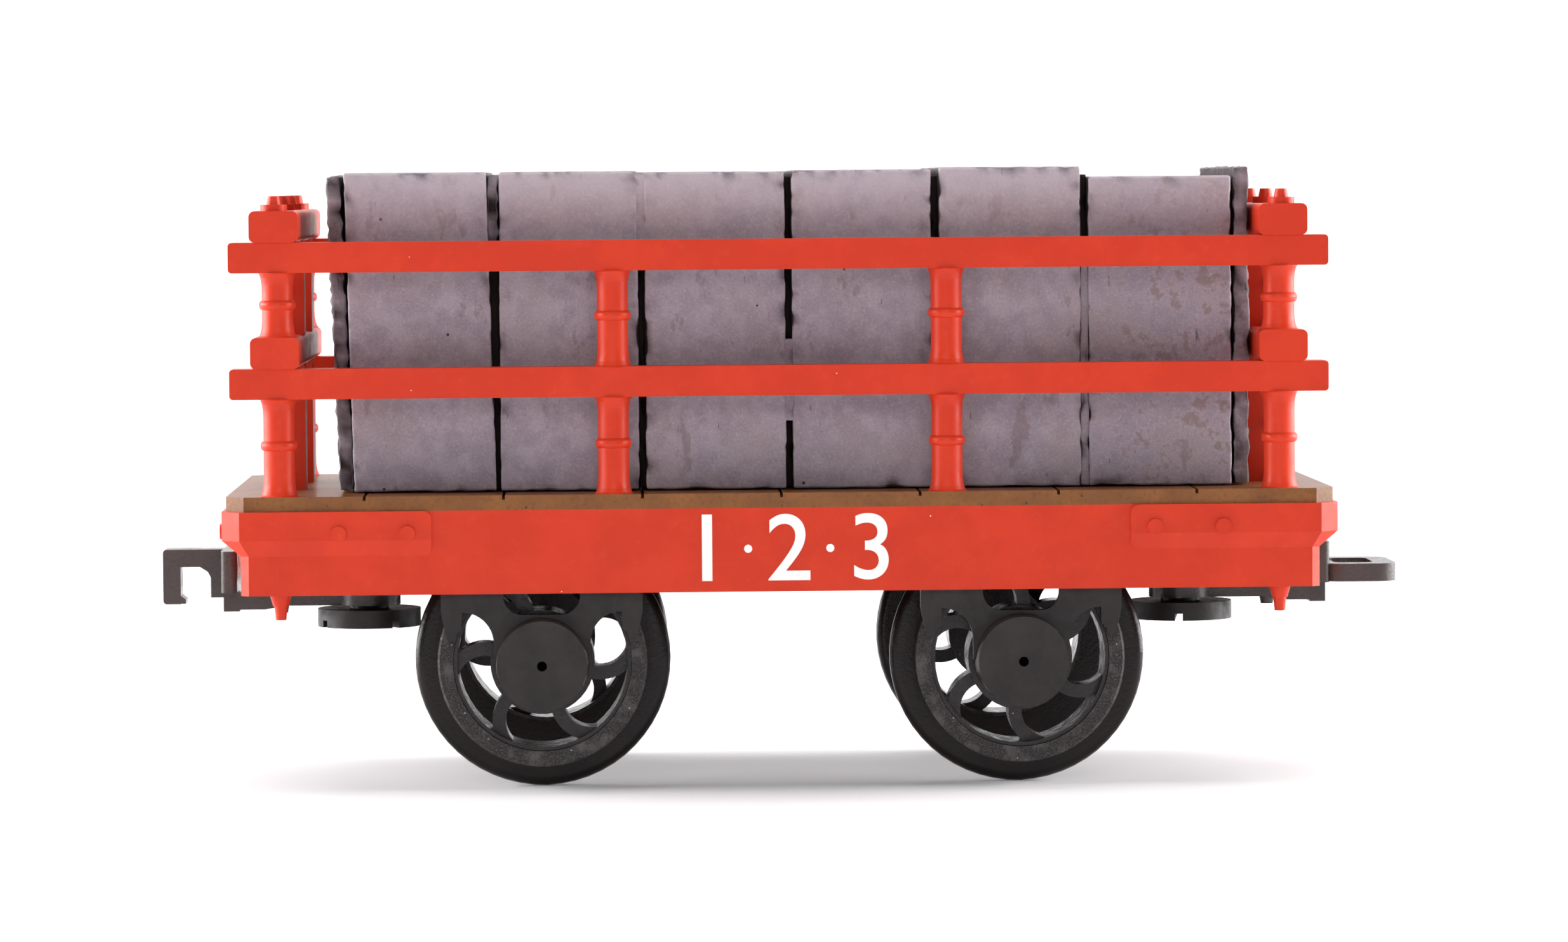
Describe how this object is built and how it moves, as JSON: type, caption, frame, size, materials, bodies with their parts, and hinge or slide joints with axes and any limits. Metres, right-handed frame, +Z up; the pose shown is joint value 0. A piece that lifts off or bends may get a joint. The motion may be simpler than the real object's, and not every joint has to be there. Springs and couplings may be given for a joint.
{
  "type": "model railway slate wagon",
  "caption": "Narrow-gauge four-wheel model flat wagon with railed fence, hook and loop couplings and a loose slate load.",
  "frame": {"origin": "under the wagon's centre, at the height that the wheel flanges stand on", "axes": "+X along the wagon towards the loop coupling, +Y across it to the rear side, +Z up"},
  "size_m": [0.0344, 0.0138, 0.0169],
  "materials": {
    "red_plastic": "satin",
    "timber_deck": "matt",
    "black_plastic": "satin",
    "blackened_tyre": "blackened, worn",
    "steel": "satin",
    "brass": "satin",
    "slate": "matt painted casting"
  },
  "bodies": {
    "wagon": {"plank_deck": "timber_deck", "body_frame": "red_plastic", "ballast_weight": "steel", "underframe": "black_plastic", "side_fence_front": "red_plastic", "side_fence_rear": "red_plastic", "end_fence_left": "red_plastic", "end_fence_right": "red_plastic", "end_rail_bolts_left": "red_plastic", "end_rail_bolts_right": "red_plastic", "w_iron_front_left": "black_plastic", "w_iron_front_right": "black_plastic", "w_iron_rear_left": "black_plastic", "w_iron_rear_right": "black_plastic", "bearings_left": "brass", "bearings_right": "brass", "coupler_screw_left": "black_plastic", "coupler_screw_right": "black_plastic"},
    "wheelset_left": {"axle_left": "steel", "wheel_centre_front_left": "black_plastic", "wheel_centre_rear_left": "black_plastic", "tyre_front_left": "blackened_tyre", "tyre_rear_left": "blackened_tyre"},
    "wheelset_right": {"axle_right": "steel", "wheel_centre_front_right": "black_plastic", "wheel_centre_rear_right": "black_plastic", "tyre_front_right": "blackened_tyre", "tyre_rear_right": "blackened_tyre"},
    "hook_body": {"coupler_hook": "black_plastic"},
    "loop_body": {"coupler_loop": "black_plastic"},
    "load": {"slate_load": "slate"}
  },
  "joints": [
    {"name": "wheelset_left_turn", "type": "hinge", "parent": "wagon", "child": "wheelset_left", "pos_m": [-0.0065, 0, 0.0035], "axis": [0, 1, 0], "continuous": true},
    {"name": "wheelset_right_turn", "type": "hinge", "parent": "wagon", "child": "wheelset_right", "pos_m": [0.0065, 0, 0.0035], "axis": [0, 1, 0], "continuous": true},
    {"name": "hook_swing", "type": "hinge", "parent": "wagon", "child": "hook_body", "pos_m": [-0.01137, 0, 0.0049], "axis": [0, 0, 1], "range_deg": [-10, 10]},
    {"name": "loop_swing", "type": "hinge", "parent": "wagon", "child": "loop_body", "pos_m": [0.01137, 0, 0.0049], "axis": [0, 0, 1], "range_deg": [-10, 10]},
    {"name": "load_lift", "type": "slide", "parent": "wagon", "child": "load", "axis": [0, 0, 1], "range_m": [0, 0.0085]}
  ]
}
